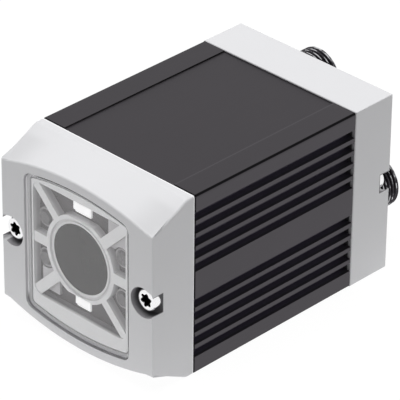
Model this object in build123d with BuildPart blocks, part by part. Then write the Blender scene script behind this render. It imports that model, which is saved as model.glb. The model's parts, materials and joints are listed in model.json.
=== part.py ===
"""Compact machine vision camera: built-in lens and lights, finned body, round plug connectors.

Frame: X runs across, Y along the optical axis with the lens looking towards -Y, and Z is up.
The origin is the middle of the underside. All lengths are in millimetres.
"""
from build123d import *
from math import cos, radians, sin, sqrt
import os

os.makedirs("parts", exist_ok=True)

# Housing
width = 45.0
height = 43.4
front_depth = 12.0
body_length = 47.6
rear_depth = 11.5
connector_reach = 12.0
gasket_thickness = 0.5
body_inset = 0.4
optical_rise = 1.2

# Front cover: a flat band at the back, then a top and bottom that slope to arched front edges
band_depth = 2.0
crown_drop = 1.5
corner_drop = 5.3
bend_radius = 2.5
front_edge_radius = 1.0
slope_edge_radius = 0.5

# Window, pane and the ledge that carries the pane
window_side_margin = 6.9
window_margin = 2.1
window_corner_radius = 2.2
pane_recess = 0.25
pane_thickness = 1.6
pane_clearance = 0.25
pane_chamfer = 0.15
ledge_width = 1.0
ledge_thickness = 1.2

# Light carrier: frame, ring and six spokes in front of the illumination board
carrier_seam = 0.35
carrier_gap = 0.1
carrier_flange_gap = 0.3
pocket_side_frame = 1.8
pocket_top_frame = 3.1
pocket_corner_radius = 2.0
pocket_depth = 2.3
ring_setback = 0.45
ring_margin = 3.7
ring_flat_cut = 0.7
ring_wall = 0.95
ring_step_depth = 0.55
lip_width = 0.5
lip_height = 0.2
spoke_width = 2.5
filter_margin = 1.15
filter_thickness = 1.0
filter_seat_width = 0.7
filter_clearance = 0.05
filter_setback = 0.25
board_thickness = 1.6
board_edge_gap = 0.3

# Lamps on the illumination board
bar_lamp_width = 5.2
bar_lamp_height = 2.5
bar_lamp_thickness = 0.9
bar_lamp_margin = 2.3
bar_lamp_notch = 0.6
round_lamp_radius = 2.2
round_lamp_rim = 0.5
round_lamp_thickness = 0.5
round_lamp_dome = 0.5
round_lamp_margin = 2.35
round_lamp_slope = 0.4323

# Cavity shared by both covers
cover_side_wall = 5.6
cover_end_wall = 4.1
cover_cavity_radius = 1.5
rear_wall = 3.0
cover_edge_radius = 0.4

# Screws that hold the covers, in pockets that break out of the side faces
screw_inset = 2.8
pocket_radius = 3.45
screw_pocket_depth = 3.0
screw_pocket_floor = 0.8
screw_radius = 1.5
screw_hole_clearance = 0.2
screw_head_radius = 2.8
screw_head_height = 2.2
screw_head_dome = 0.7
screw_grip = 8.0
drive_radius = 1.35
drive_lobe_radius = 0.36
drive_depth = 1.2

# Body extrusion
body_edge_radius = 0.45
body_wall = 3.9
body_floor = 4.8
body_roof = 2.2
groove_count = 5
groove_pitch = 3.07
groove_width = 2.05
groove_depth = 2.0
middle_band = 6.7
channel_clearance = 0.05
channel_boss_height = 6.4
channel_boss_reach = 2.9
top_recess_inset = 6.3
top_recess_depth = 0.5
pad_inset = 6.3

# Threaded holes under the body
base_hole_radius = 1.65
base_hole_depth = 4.0
base_hole_spacing_x = 20.0
base_hole_spacing_y = 30.0

# Optics plate, sensor board and the sliding lens carriage
optics_plate_y = 13.5
optics_plate_thickness = 2.3
plate_clearance = 0.2
plate_boss_clearance = 0.3
sensor_size = 9.0
sensor_thickness = 1.4
sensor_window_gap = 1.2
carriage_width = 26.0
carriage_height = 24.0
carriage_thickness = 6.0
carriage_radius = 2.0
carriage_rear_gap = 5.0
guide_pin_radius = 1.0
guide_pin_offset = 10.5
guide_pin_length = 12.5
guide_clearance = 0.06
barrel_radius = 7.0
barrel_thread_radius = 6.0
barrel_front_length = 8.8
barrel_back_length = 7.0
barrel_clearance = 0.03
barrel_window_clearance = 1.0
front_lens_radius = 5.4
front_lens_edge = 1.4
front_lens_bulge = 0.9
front_lens_setback = 1.4
rear_lens_radius = 4.4
rear_lens_edge = 1.2
rear_lens_bulge = 0.6
rear_lens_setback = 1.0
aperture_radius = 2.6

# Focus spindle: a long screw reached from the rear face
spindle_x = 5.0
spindle_rise = 8.8
spindle_radius = 1.5
spindle_clearance = 0.05
spindle_board_clearance = 0.5
spindle_reach = 2.0
spindle_head_radius = 2.6
spindle_head_height = 1.4
spindle_slot_width = 0.7
spindle_slot_depth = 0.7
spindle_recess_radius = 3.0
spindle_recess_depth = 2.0
spindle_boss_radius = 3.6
spindle_boss_length = 2.5
spindle_seal_height = 0.5
spindle_seal_width = 0.8
clip_radius = 2.6
clip_thickness = 0.5

# Board stack
board_side_clearance = 0.6
board_end_clearance = 0.7
processor_board_gap = 16.1
io_board_gap = 2.5
spacer_side_inset = 2.1
spacer_end_inset = 2.7
spacer_radius = 1.9
stack_screw_radius = 1.0
stack_screw_clearance = 0.05
stack_head_radius = 1.7
stack_head_height = 1.3
stack_screw_grip = 5.0
processor_size = 13.0
processor_thickness = 1.5
memory_width = 9.0
memory_height = 5.0
memory_thickness = 1.1
chip_x = -4.0
chip_z = -2.0
memory_x = 8.0
memory_z = -8.0
ribbon_socket_width = 12.0
ribbon_socket_height = 3.0
ribbon_socket_thickness = 2.0
ribbon_socket_z = -12.0

# Round connectors with an outside thread
thread_radius = 6.0
thread_chamfer = 0.5
neck_radius = 5.4
neck_length = 1.5
shell_bore_radius = 4.6
shell_hole_clearance = 0.1
shell_flange_radius = 6.9
shell_flange_thickness = 1.5
shell_tail_radius = 5.0
connector_side_inset = 7.6
connector_end_inset = 7.7
seal_thickness = 0.5
seal_clearance = 0.1
insert_clearance = 0.05
plug_insert_depth = 8.0
socket_insert_depth = 0.8
contact_radius = 0.4
contact_clearance = 0.03
plug_contact_depth = 2.0
socket_contact_depth = 1.8
power_contact_circle = 2.75
power_contact_count = 7
network_contact_circle = 2.2
network_contact_count = 4
data_contact_circle = 2.6
data_contact_count = 4

# Status lights beside the focus screw
status_light_count = 4
status_light_pitch = 3.0
status_light_inset = 2.3
status_light_end_inset = 10.0
status_light_radius = 0.9
status_light_clearance = 0.05
status_bar_width = 2.8
status_bar_thickness = 1.2
status_chip_size = 1.6
status_chip_thickness = 0.8

# Stations along the optical axis, front to rear
total_length = front_depth + 2 * gasket_thickness + body_length + rear_depth + connector_reach
front_y = -total_length / 2
cover_back_y = front_y + front_depth
body_front_y = cover_back_y + gasket_thickness
body_back_y = body_front_y + body_length
rear_front_y = body_back_y + gasket_thickness
rear_back_y = rear_front_y + rear_depth
tip_y = rear_back_y + connector_reach
pane_front_y = front_y + pane_recess
ledge_front_y = pane_front_y + pane_thickness
ledge_back_y = ledge_front_y + ledge_thickness
carrier_front_y = ledge_front_y + carrier_gap
floor_y = carrier_front_y + pocket_depth
lamp_board_back_y = floor_y + board_thickness
ring_front_y = carrier_front_y + ring_setback
filter_front_y = ring_front_y + filter_setback
plate_front_y = body_front_y + optics_plate_y
plate_back_y = plate_front_y + optics_plate_thickness
sensor_board_back_y = plate_back_y + board_thickness
processor_front_y = sensor_board_back_y + processor_board_gap
processor_back_y = processor_front_y + board_thickness
io_board_back_y = rear_front_y + io_board_gap
io_board_front_y = io_board_back_y - board_thickness
carriage_back_y = plate_front_y - carriage_rear_gap
carriage_front_y = carriage_back_y - carriage_thickness
barrel_front_y = carriage_front_y - barrel_front_length
barrel_back_y = carriage_front_y + barrel_back_length
rear_wall_y = rear_back_y - rear_wall
flange_back_y = rear_wall_y - seal_thickness
flange_front_y = flange_back_y - shell_flange_thickness

# Heights, half sizes and places that follow
middle_z = height / 2
axis_z = middle_z + optical_rise
front_crown = height / 2 - crown_drop
front_corner = height / 2 - corner_drop
window_half_width = width / 2 - window_side_margin
window_crown = front_crown - window_margin
pocket_width = 2 * (window_half_width - pocket_side_frame)
pocket_height = 2 * (window_crown - optical_rise - pocket_top_frame)
ring_radius = min(pocket_width, pocket_height) / 2 - ring_margin
ring_flat = ring_radius - ring_flat_cut
ring_bore_radius = ring_radius - ring_wall
filter_radius = ring_bore_radius - filter_margin
lip_radius = filter_radius + lip_width
bar_lamp_offset = pocket_height / 2 - bar_lamp_margin
round_lamp_x = pocket_width / 2 - round_lamp_margin
round_lamp_z = round_lamp_x * round_lamp_slope
screw_offset = width / 2 - screw_inset
cover_cavity_half_width = width / 2 - cover_side_wall
cover_cavity_half_height = height / 2 - cover_end_wall
body_width = width - 2 * body_inset
body_height = height - 2 * body_inset
cavity_half_width = body_width / 2 - body_wall
cavity_bottom = body_floor
cavity_top = height - body_inset - body_roof
cavity_height = cavity_top - cavity_bottom
cavity_middle_z = (cavity_top + cavity_bottom) / 2
boss_inner_x = cavity_half_width - (channel_boss_reach - (body_wall - groove_depth))
board_half_width = cover_cavity_half_width - board_side_clearance
sensor_board_half_height = cavity_height / 2 - board_end_clearance
spacer_x = board_half_width - spacer_side_inset
spacer_z = cover_cavity_half_height - spacer_end_inset
connector_x = cover_cavity_half_width - connector_side_inset
connector_z = cover_cavity_half_height - connector_end_inset
status_light_x = board_half_width - status_light_inset
status_light_z = cover_cavity_half_height - status_light_end_inset
spindle_z = axis_z + spindle_rise


def across(y, x=0.0, z=middle_z):
    """Plane across the optical axis at station y, as seen from the front: X right, Z up."""
    return Plane(origin=(x, y, z), x_dir=(1, 0, 0), z_dir=(0, -1, 0))


def arch_radius(half_chord, sagitta):
    """Radius of the arc that rises by the sagitta over a chord twice as long as half_chord."""
    return (half_chord**2 + sagitta**2) / (2 * sagitta)


def arched_face(half_width, corner, crown):
    """Upright sides with an arched top and bottom."""
    with BuildSketch() as outline:
        with BuildLine():
            Line((-half_width, -corner), (-half_width, corner))
            ThreePointArc((-half_width, corner), (0, crown), (half_width, corner))
            Line((half_width, corner), (half_width, -corner))
            ThreePointArc((half_width, -corner), (0, -crown), (-half_width, -corner))
        make_face()
    return outline.sketch


def window_face(inset):
    """The window's arched outline, drawn this much inside the opening in the cover."""
    half_width = window_half_width - inset
    crown = window_crown - inset
    radius = arch_radius(width / 2, front_crown - front_corner) - window_margin - inset
    corner = crown - (radius - sqrt(radius**2 - half_width**2))
    with BuildSketch() as outline:
        add(arched_face(half_width, corner, crown))
        fillet(outline.vertices(), max(window_corner_radius - inset, 0.3))
    return outline.sketch


def screw_points():
    """Where the two cover screws stand, across the housing."""
    return [(-screw_offset, 0), (screw_offset, 0)]


def pocket_floor_face():
    """Discs that close the screw pockets towards the cavity, trimmed to the housing's sides."""
    with BuildSketch() as discs:
        with Locations(*screw_points()):
            Circle(pocket_radius + screw_pocket_floor)
        Rectangle(width, height, mode=Mode.INTERSECT)
    return discs.sketch


def stack_points():
    """Where the four corner spacers of the board stack stand."""
    return [(sx * spacer_x, sz * spacer_z) for sx in (-1, 1) for sz in (-1, 1)]


# Front cover
with BuildPart() as front_cover:
    with BuildSketch(across(cover_back_y)):
        Rectangle(width, height)
    extrude(amount=band_depth)
    with BuildSketch(across(cover_back_y - band_depth)):
        Rectangle(width, height)
    with BuildSketch(across(front_y)):
        add(arched_face(width / 2, front_corner, front_crown))
    loft(ruled=True)
    bends = front_cover.edges().filter_by(Axis.X).filter_by_position(
        Axis.Y, cover_back_y - band_depth - 0.01, cover_back_y - band_depth + 0.01
    )
    fillet(bends, bend_radius)
    uprights = front_cover.edges().filter_by(Axis.Z).group_by(Axis.Y)[0]
    fillet(uprights, front_edge_radius)
    arches = front_cover.faces().sort_by(Axis.Y)[0].edges().filter_by(GeomType.CIRCLE)
    fillet(arches, slope_edge_radius)
    with BuildSketch(across(front_y)):
        add(window_face(0))
    extrude(amount=-(ledge_front_y - front_y), mode=Mode.SUBTRACT)
    with BuildSketch(across(ledge_front_y)):
        add(window_face(ledge_width))
    extrude(amount=-ledge_thickness, mode=Mode.SUBTRACT)
    with BuildSketch(across(ledge_back_y)):
        RectangleRounded(2 * cover_cavity_half_width, 2 * cover_cavity_half_height, cover_cavity_radius)
    extrude(amount=-(cover_back_y - ledge_back_y), mode=Mode.SUBTRACT)
    with BuildSketch(across(front_y + screw_pocket_depth)):
        add(pocket_floor_face())
    extrude(amount=-screw_pocket_floor)
    with BuildSketch(across(front_y)):
        with Locations(*screw_points()):
            Circle(pocket_radius)
    extrude(amount=-screw_pocket_depth, mode=Mode.SUBTRACT)
    with BuildSketch(across(front_y)):
        with Locations(*screw_points()):
            Circle(screw_radius + screw_hole_clearance)
    extrude(amount=-front_depth, mode=Mode.SUBTRACT)

# Window pane, seated on the ledge
with BuildPart() as window_pane:
    with BuildSketch(across(ledge_front_y)):
        add(window_face(pane_clearance))
    extrude(amount=pane_thickness)
    chamfer(window_pane.faces().sort_by(Axis.Y)[0].edges(), pane_chamfer)

# Light carrier: plateau behind the pane, flange behind the ledge, pocket with ring and spokes
with BuildPart() as light_carrier:
    with BuildSketch(across(floor_y)):
        add(window_face(ledge_width + carrier_seam))
    extrude(amount=pocket_depth)
    with BuildSketch(across(lamp_board_back_y)):
        RectangleRounded(
            2 * (cover_cavity_half_width - carrier_flange_gap),
            2 * (cover_cavity_half_height - carrier_flange_gap),
            cover_cavity_radius,
        )
    extrude(amount=lamp_board_back_y - ledge_back_y)
    with BuildSketch(across(ledge_back_y)):
        with Locations(*screw_points()):
            Circle(pocket_radius + screw_pocket_floor + carrier_flange_gap)
    extrude(amount=-(screw_pocket_floor + carrier_flange_gap), mode=Mode.SUBTRACT)
    with BuildSketch(across(floor_y, z=axis_z)):
        RectangleRounded(pocket_width, pocket_height, pocket_corner_radius)
    extrude(amount=pocket_depth, mode=Mode.SUBTRACT)
    with BuildSketch(across(lamp_board_back_y)):
        Rectangle(
            2 * (board_half_width - board_edge_gap),
            2 * (cover_cavity_half_height - 4 * board_edge_gap),
        )
    extrude(amount=board_thickness, mode=Mode.SUBTRACT)
    with BuildSketch(across(floor_y, z=axis_z)):
        Circle(ring_radius)
        Rectangle(2 * ring_radius, 2 * ring_flat, mode=Mode.INTERSECT)
        for angle in (0, 45, 135):
            Rectangle(2 * (pocket_width + pocket_height), spoke_width, rotation=angle)
        RectangleRounded(pocket_width, pocket_height, pocket_corner_radius, mode=Mode.INTERSECT)
        Circle(ring_bore_radius, mode=Mode.SUBTRACT)
    extrude(amount=pocket_depth - ring_setback)
    with BuildSketch(across(floor_y, z=axis_z)):
        Circle(ring_bore_radius)
        Circle(filter_radius - filter_seat_width, mode=Mode.SUBTRACT)
    extrude(amount=pocket_depth - ring_setback - filter_setback - filter_thickness)
    with BuildSketch(across(floor_y, z=axis_z)):
        Circle(ring_bore_radius)
        Circle(filter_radius + filter_clearance, mode=Mode.SUBTRACT)
    extrude(amount=pocket_depth - ring_setback - ring_step_depth)
    with BuildSketch(across(floor_y, z=axis_z)):
        Circle(lip_radius)
        Circle(filter_radius + filter_clearance, mode=Mode.SUBTRACT)
    extrude(amount=pocket_depth - ring_setback - lip_height)

# Dark filter glass in the ring
with BuildPart() as filter_glass:
    with BuildSketch(across(filter_front_y, z=axis_z)):
        Circle(filter_radius)
    extrude(amount=-filter_thickness)

# Illumination board, let into the back of the carrier
with BuildPart() as illumination_board:
    with BuildSketch(across(lamp_board_back_y)):
        Rectangle(
            2 * (board_half_width - 2 * board_edge_gap),
            2 * (cover_cavity_half_height - 5 * board_edge_gap),
        )
        with Locations((0, optical_rise)):
            Circle(barrel_radius + barrel_window_clearance, mode=Mode.SUBTRACT)
    extrude(amount=board_thickness)

# Bar lamps above and below the ring, each with one notched corner
with BuildPart() as bar_lamps:
    with BuildSketch(across(floor_y, z=axis_z)):
        for side in (-1, 1):
            with Locations((0, side * bar_lamp_offset)):
                Rectangle(bar_lamp_width, bar_lamp_height)
    extrude(amount=bar_lamp_thickness)
    with BuildSketch(across(floor_y, z=axis_z)):
        for side in (-1, 1):
            with Locations((-bar_lamp_width / 2, side * bar_lamp_offset - bar_lamp_height / 2)):
                Rectangle(2 * bar_lamp_notch, bar_lamp_notch)
    extrude(amount=bar_lamp_thickness, mode=Mode.SUBTRACT)

# Round lamps in the four side compartments: a raised rim with a domed lens
with BuildPart() as round_lamps:
    with BuildSketch(across(floor_y, z=axis_z)):
        for sx in (-1, 1):
            for sz in (-1, 1):
                with Locations((sx * round_lamp_x, sz * round_lamp_z)):
                    Circle(round_lamp_radius)
    extrude(amount=round_lamp_thickness)
    with BuildSketch(across(floor_y - round_lamp_thickness, z=axis_z)):
        for sx in (-1, 1):
            for sz in (-1, 1):
                with Locations((sx * round_lamp_x, sz * round_lamp_z)):
                    Circle(round_lamp_radius - round_lamp_rim)
    extrude(amount=round_lamp_dome, taper=30)

# Front gasket between cover and body
with BuildPart() as front_gasket:
    with BuildSketch(across(body_front_y)):
        Rectangle(body_width, body_height)
        Rectangle(2 * cover_cavity_half_width, 2 * cover_cavity_half_height, mode=Mode.SUBTRACT)
        with Locations(*screw_points()):
            Circle(screw_radius + screw_hole_clearance, mode=Mode.SUBTRACT)
    extrude(amount=gasket_thickness)

# Finned body extrusion
with BuildPart() as body_extrusion:
    with BuildSketch(across(body_back_y)):
        RectangleRounded(body_width, body_height, body_edge_radius)
        with Locations((0, -(body_height + body_inset) / 2)):
            Rectangle(width - 2 * pad_inset, body_inset)
        with Locations((0, cavity_middle_z - middle_z)):
            Rectangle(2 * cavity_half_width, cavity_height, mode=Mode.SUBTRACT)
        for side in (-1, 1):
            with Locations((side * (boss_inner_x + cavity_half_width) / 2, 0)):
                Rectangle(cavity_half_width - boss_inner_x, channel_boss_height)
        with Locations(*screw_points()):
            Circle(screw_radius + channel_clearance, mode=Mode.SUBTRACT)
        for side in (-1, 1):
            for half in (-1, 1):
                for number in range(groove_count):
                    rise = middle_band / 2 + groove_width / 2 + number * groove_pitch
                    with Locations((side * body_width / 2, half * rise)):
                        Rectangle(2 * groove_depth, groove_width, mode=Mode.SUBTRACT)
        with Locations((0, body_height / 2)):
            Rectangle(width - 2 * top_recess_inset, 2 * top_recess_depth, mode=Mode.SUBTRACT)
    extrude(amount=body_length)
    base_hole_plane = Plane(origin=(0, (body_front_y + body_back_y) / 2, 0), x_dir=(1, 0, 0), z_dir=(0, 0, 1))
    with BuildSketch(base_hole_plane):
        with GridLocations(base_hole_spacing_x, base_hole_spacing_y, 2, 2):
            Circle(base_hole_radius)
    extrude(amount=base_hole_depth, mode=Mode.SUBTRACT)

# Rear gasket
with BuildPart() as rear_gasket:
    with BuildSketch(across(rear_front_y)):
        Rectangle(body_width, body_height)
        Rectangle(2 * cover_cavity_half_width, 2 * cover_cavity_half_height, mode=Mode.SUBTRACT)
        with Locations(*screw_points()):
            Circle(screw_radius + screw_hole_clearance, mode=Mode.SUBTRACT)
    extrude(amount=gasket_thickness)

# Places of the three connectors on the rear face, as seen from the front
connector_places = {
    "power": (-connector_x, connector_z),
    "network": (connector_x, -connector_z),
    "data": (-connector_x, -connector_z),
}
status_points = [
    (status_light_x, status_light_z + (number - (status_light_count - 1) / 2) * status_light_pitch)
    for number in range(status_light_count)
]

# Rear cover
with BuildPart() as rear_cover:
    with BuildSketch(across(rear_back_y)):
        Rectangle(width, height)
    extrude(amount=rear_depth)
    fillet(rear_cover.edges().filter_by(Axis.Y), cover_edge_radius)
    fillet(rear_cover.faces().sort_by(Axis.Y)[-1].edges(), cover_edge_radius)
    with BuildSketch(across(rear_wall_y)):
        RectangleRounded(2 * cover_cavity_half_width, 2 * cover_cavity_half_height, cover_cavity_radius)
    extrude(amount=rear_depth - rear_wall, mode=Mode.SUBTRACT)
    with BuildSketch(across(rear_back_y - screw_pocket_depth)):
        add(pocket_floor_face())
    extrude(amount=screw_pocket_floor)
    with BuildSketch(across(rear_wall_y, spindle_x, spindle_z)):
        Circle(spindle_boss_radius)
    extrude(amount=spindle_boss_length)
    with BuildSketch(across(rear_back_y, spindle_x, spindle_z)):
        Circle(spindle_radius + spindle_clearance)
    extrude(amount=rear_wall + spindle_boss_length, mode=Mode.SUBTRACT)
    with BuildSketch(across(rear_back_y, spindle_x, spindle_z)):
        Circle(spindle_recess_radius)
    extrude(amount=spindle_recess_depth, mode=Mode.SUBTRACT)
    with BuildSketch(across(rear_back_y)):
        with Locations(*connector_places.values()):
            Circle(thread_radius + shell_hole_clearance)
        with Locations(*status_points):
            Circle(status_light_radius + status_light_clearance)
    extrude(amount=rear_wall, mode=Mode.SUBTRACT)
    with BuildSketch(across(rear_back_y)):
        with Locations(*screw_points()):
            Circle(pocket_radius)
    extrude(amount=screw_pocket_depth, mode=Mode.SUBTRACT)
    with BuildSketch(across(rear_back_y)):
        with Locations(*screw_points()):
            Circle(screw_radius + screw_hole_clearance)
    extrude(amount=rear_depth, mode=Mode.SUBTRACT)


def cover_screws(seat_y, outward):
    """Two pan-head screws with their heads on seat_y. outward is 1 towards the front, -1 to the rear."""
    cover_thickness = (cover_back_y - seat_y) if outward == 1 else (seat_y - rear_front_y)
    with BuildPart() as screws:
        with BuildSketch(across(seat_y)):
            with Locations(*screw_points()):
                Circle(screw_head_radius)
        extrude(amount=outward * screw_head_height)
        rims = screws.edges().filter_by(GeomType.CIRCLE).group_by(Axis.Y)[0 if outward == 1 else -1]
        fillet(rims, screw_head_dome)
        with BuildSketch(across(seat_y)):
            with Locations(*screw_points()):
                Circle(screw_radius)
        extrude(amount=-outward * (cover_thickness + gasket_thickness + screw_grip))
        with BuildSketch(across(seat_y - outward * screw_head_height)):
            for x, z in screw_points():
                with Locations((x, z)):
                    Circle(drive_radius - drive_lobe_radius)
                    with PolarLocations(drive_radius - drive_lobe_radius, 6):
                        Circle(drive_lobe_radius)
        extrude(amount=-outward * drive_depth, mode=Mode.SUBTRACT)
    return screws


front_screws = cover_screws(front_y + screw_pocket_depth, 1)
rear_screws = cover_screws(rear_back_y - screw_pocket_depth, -1)

# Optics plate: carries the guide pins in front and the sensor board behind
with BuildPart() as optics_plate:
    with BuildSketch(across(plate_back_y)):
        with Locations((0, cavity_middle_z - middle_z)):
            Rectangle(2 * (cavity_half_width - plate_clearance), cavity_height - 2 * plate_clearance)
        for side in (-1, 1):
            with Locations((side * cavity_half_width, 0)):
                Rectangle(
                    2 * (cavity_half_width - boss_inner_x + plate_boss_clearance),
                    channel_boss_height + 2 * plate_boss_clearance,
                    mode=Mode.SUBTRACT,
                )
        with Locations((0, optical_rise)):
            Rectangle(sensor_size + sensor_window_gap, sensor_size + sensor_window_gap, mode=Mode.SUBTRACT)
        with Locations((spindle_x, optical_rise + spindle_rise)):
            Circle(spindle_radius + spindle_board_clearance, mode=Mode.SUBTRACT)
        with Locations(*stack_points()):
            Circle(stack_screw_radius + stack_screw_clearance, mode=Mode.SUBTRACT)
    extrude(amount=optics_plate_thickness)

# Two guide pins
with BuildPart() as guide_pins:
    with BuildSketch(across(plate_front_y, z=axis_z)):
        with Locations((-guide_pin_offset, 0), (guide_pin_offset, 0)):
            Circle(guide_pin_radius)
    extrude(amount=guide_pin_length)

# Lens carriage, sliding on the pins, threaded for the barrel and for the focus spindle
with BuildPart() as lens_carriage:
    with BuildSketch(across(carriage_back_y, z=axis_z)):
        RectangleRounded(carriage_width, carriage_height, carriage_radius)
        Circle(barrel_thread_radius + barrel_clearance, mode=Mode.SUBTRACT)
        with Locations((-guide_pin_offset, 0), (guide_pin_offset, 0)):
            Circle(guide_pin_radius + guide_clearance, mode=Mode.SUBTRACT)
        with Locations((spindle_x, spindle_rise)):
            Circle(spindle_radius + spindle_clearance, mode=Mode.SUBTRACT)
    extrude(amount=carriage_thickness)


def lens_face(radius, edge, bulge):
    """Half section of a lens that bulges on both faces, beside the Y axis with its front edge at 0."""
    sphere = arch_radius(radius, bulge)
    halfway = bulge - (sphere - sqrt(sphere**2 - (radius / 2) ** 2))
    with BuildSketch() as section:
        with BuildLine():
            Line((0, -bulge), (0, edge + bulge))
            ThreePointArc((0, edge + bulge), (radius / 2, edge + halfway), (radius, edge))
            Line((radius, edge), (radius, 0))
            ThreePointArc((radius, 0), (radius / 2, -halfway), (0, -bulge))
        make_face()
    return section.sketch


# Lens barrel: wide front part, threaded back part, stepped bore with an aperture between the lenses
front_lens_y = barrel_front_y + front_lens_setback
rear_lens_y = barrel_back_y - rear_lens_setback - rear_lens_edge
with BuildPart() as lens_barrel:
    with BuildSketch(across(carriage_front_y, z=axis_z)):
        Circle(barrel_radius)
    extrude(amount=barrel_front_length)
    with BuildSketch(across(carriage_front_y, z=axis_z)):
        Circle(barrel_thread_radius)
    extrude(amount=-barrel_back_length)
    with BuildSketch(across(barrel_front_y, z=axis_z)):
        Circle(aperture_radius)
    extrude(amount=-(barrel_back_y - barrel_front_y), mode=Mode.SUBTRACT)
    with BuildSketch(across(barrel_front_y, z=axis_z)):
        Circle(front_lens_radius + barrel_clearance)
    extrude(
        amount=-(front_lens_setback + front_lens_edge + front_lens_bulge + barrel_clearance),
        mode=Mode.SUBTRACT,
    )
    with BuildSketch(across(barrel_back_y, z=axis_z)):
        Circle(rear_lens_radius + barrel_clearance)
    extrude(
        amount=rear_lens_setback + rear_lens_edge + rear_lens_bulge + barrel_clearance,
        mode=Mode.SUBTRACT,
    )

with BuildPart() as front_lens:
    with BuildSketch(Plane(origin=(0, front_lens_y, axis_z), x_dir=(1, 0, 0), z_dir=(0, 0, 1))):
        add(lens_face(front_lens_radius, front_lens_edge, front_lens_bulge))
    revolve(axis=Axis((0, 0, axis_z), (0, 1, 0)))

with BuildPart() as rear_lens:
    with BuildSketch(Plane(origin=(0, rear_lens_y, axis_z), x_dir=(1, 0, 0), z_dir=(0, 0, 1))):
        add(lens_face(rear_lens_radius, rear_lens_edge, rear_lens_bulge))
    revolve(axis=Axis((0, 0, axis_z), (0, 1, 0)))

# Focus spindle with a slotted head in the rear cover's recess
with BuildPart() as focus_spindle:
    head_seat_y = rear_back_y - spindle_recess_depth + spindle_seal_height
    with BuildSketch(across(head_seat_y, spindle_x, spindle_z)):
        Circle(spindle_radius)
    extrude(amount=head_seat_y - carriage_front_y + spindle_reach)
    with BuildSketch(across(head_seat_y, spindle_x, spindle_z)):
        Circle(spindle_head_radius)
    extrude(amount=-spindle_head_height)
    with BuildSketch(across(head_seat_y + spindle_head_height, spindle_x, spindle_z)):
        Rectangle(2 * spindle_head_radius, spindle_slot_width)
    extrude(amount=spindle_slot_depth, mode=Mode.SUBTRACT)

with BuildPart() as spindle_seal:
    with BuildSketch(across(rear_back_y - spindle_recess_depth, spindle_x, spindle_z)):
        Circle(spindle_radius + spindle_clearance + spindle_seal_width)
        Circle(spindle_radius + spindle_clearance, mode=Mode.SUBTRACT)
    extrude(amount=-spindle_seal_height)

with BuildPart() as spindle_clip:
    with BuildSketch(across(rear_wall_y - spindle_boss_length - plate_clearance, spindle_x, spindle_z)):
        Circle(clip_radius)
        Circle(spindle_radius, mode=Mode.SUBTRACT)
    extrude(amount=clip_thickness)


def circuit_board(back_y, half_height, middle):
    """A rectangular board with spacer holes and a hole for the focus spindle."""
    with BuildPart() as board:
        with BuildSketch(across(back_y)):
            with Locations((0, middle - middle_z)):
                RectangleRounded(2 * board_half_width, 2 * half_height, cover_cavity_radius)
            with Locations((spindle_x, optical_rise + spindle_rise)):
                Circle(spindle_radius + spindle_board_clearance, mode=Mode.SUBTRACT)
            with Locations(*stack_points()):
                Circle(stack_screw_radius + stack_screw_clearance, mode=Mode.SUBTRACT)
        extrude(amount=board_thickness)
    return board


sensor_board = circuit_board(sensor_board_back_y, sensor_board_half_height, cavity_middle_z)
processor_board = circuit_board(processor_back_y, sensor_board_half_height, cavity_middle_z)
io_board = circuit_board(io_board_back_y, cover_cavity_half_height - plate_clearance, middle_z)

with BuildPart() as image_sensor:
    with BuildSketch(across(plate_back_y, z=axis_z)):
        Rectangle(sensor_size, sensor_size)
    extrude(amount=sensor_thickness)

with BuildPart() as processor_chip:
    with BuildSketch(across(processor_front_y, chip_x, axis_z + chip_z)):
        Rectangle(processor_size, processor_size)
    extrude(amount=processor_thickness)

with BuildPart() as memory_chips:
    for side in (-1, 1):
        with BuildSketch(across(processor_back_y, side * memory_x, axis_z + memory_z)):
            Rectangle(memory_width, memory_height)
        extrude(amount=-memory_thickness)

# Ribbon sockets on the facing sides of the three boards
with BuildPart() as board_sockets:
    for face_y, toward in (
        (sensor_board_back_y, -1),
        (processor_front_y, 1),
        (processor_back_y, -1),
        (io_board_front_y, 1),
    ):
        with BuildSketch(across(face_y, z=axis_z + ribbon_socket_z)):
            Rectangle(ribbon_socket_width, ribbon_socket_height)
        extrude(amount=toward * ribbon_socket_thickness)

# Hollow spacers between the boards, and the short screws in both ends of the stack
with BuildPart() as board_spacers:
    for start_y, end_y in ((sensor_board_back_y, processor_front_y), (processor_back_y, io_board_front_y)):
        with BuildSketch(across(end_y)):
            with Locations(*stack_points()):
                RegularPolygon(spacer_radius, 6, major_radius=False)
                Circle(stack_screw_radius + stack_screw_clearance, mode=Mode.SUBTRACT)
        extrude(amount=end_y - start_y)

with BuildPart() as stack_screws:
    for seat_y, outward, thickness in (
        (plate_front_y, 1, optics_plate_thickness + board_thickness),
        (io_board_back_y, -1, board_thickness),
    ):
        with BuildSketch(across(seat_y)):
            with Locations(*stack_points()):
                Circle(stack_head_radius)
        extrude(amount=outward * stack_head_height)
        with BuildSketch(across(seat_y)):
            with Locations(*stack_points()):
                Circle(stack_screw_radius)
        extrude(amount=-outward * (thickness + stack_screw_grip))

# Status light guide: a bar behind the rear wall with one round pin for each light
with BuildPart() as status_light_guide:
    with BuildSketch(across(rear_wall_y, status_light_x, middle_z + status_light_z)):
        Rectangle(status_bar_width, status_light_count * status_light_pitch)
    extrude(amount=status_bar_thickness)
    with BuildSketch(across(rear_wall_y)):
        with Locations(*status_points):
            Circle(status_light_radius)
    extrude(amount=-rear_wall)

with BuildPart() as status_lamps:
    with BuildSketch(across(io_board_back_y)):
        with Locations(*status_points):
            Rectangle(status_chip_size, status_chip_size)
    extrude(amount=-status_chip_thickness)


def contact_points(circle, count, with_centre):
    """Contact places about a connector's axis: evenly on a circle, and one in the middle if asked."""
    turns = [radians(90 + 360 * number / count) for number in range(count)]
    points = [(circle * cos(turn), circle * sin(turn)) for turn in turns]
    if with_centre:
        points.append((0, 0))
    return points


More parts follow.
